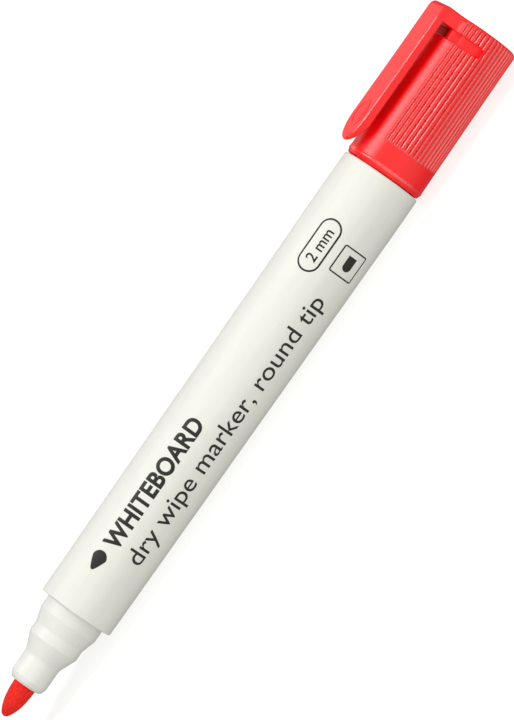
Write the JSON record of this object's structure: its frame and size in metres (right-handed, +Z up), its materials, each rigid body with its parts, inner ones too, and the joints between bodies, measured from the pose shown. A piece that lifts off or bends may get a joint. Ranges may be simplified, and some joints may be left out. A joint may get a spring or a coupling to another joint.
{
  "type": "whiteboard marker",
  "caption": "Round-tip whiteboard marker with a tapered white barrel, stepped nose, fibre nib and a ribbed clip cap posted on its rear end.",
  "frame": {"origin": "on the plane that the marker lies on, below the middle of its length with the cap posted", "axes": "+X along the marker's axis from the nib to the cap's closed end, +Z up, towards the pocket clip"},
  "size_m": [0.152, 0.0158, 0.0186],
  "materials": {
    "nib_fibre": "bonded polyester fibre soaked with red ink, matt",
    "nose_plastic": "moulded polypropylene, satin",
    "white_plastic": "moulded polypropylene, satin, faintly pearly",
    "ink_fibre": "polyester fibre bundle soaked with red ink",
    "film": "thin clear film",
    "red_plastic": "moulded polypropylene, semi-gloss, slightly translucent red",
    "seal_plastic": "soft moulded polyethylene"
  },
  "bodies": {
    "barrel": {"nib": "nib_fibre", "front_section": "nose_plastic", "barrel": "white_plastic", "ink_reservoir": "ink_fibre", "reservoir_wrap": "film", "end_plug": "red_plastic"},
    "cap": {"cap_shell": "red_plastic", "inner_seal": "seal_plastic"},
    "clip": {"pocket_clip": "red_plastic"}
  },
  "joints": [
    {"name": "cap_slide", "type": "slide", "parent": "barrel", "child": "cap", "axis": [1, 0, 0], "range_m": [0, 0.012]},
    {"name": "clip_flex", "type": "hinge", "parent": "cap", "child": "clip", "pos_m": [0.0731, 0, 0.01764], "axis": [0, 1, 0], "range_deg": [0, 5], "stiffness_Nm_per_rad": 1.6}
  ]
}
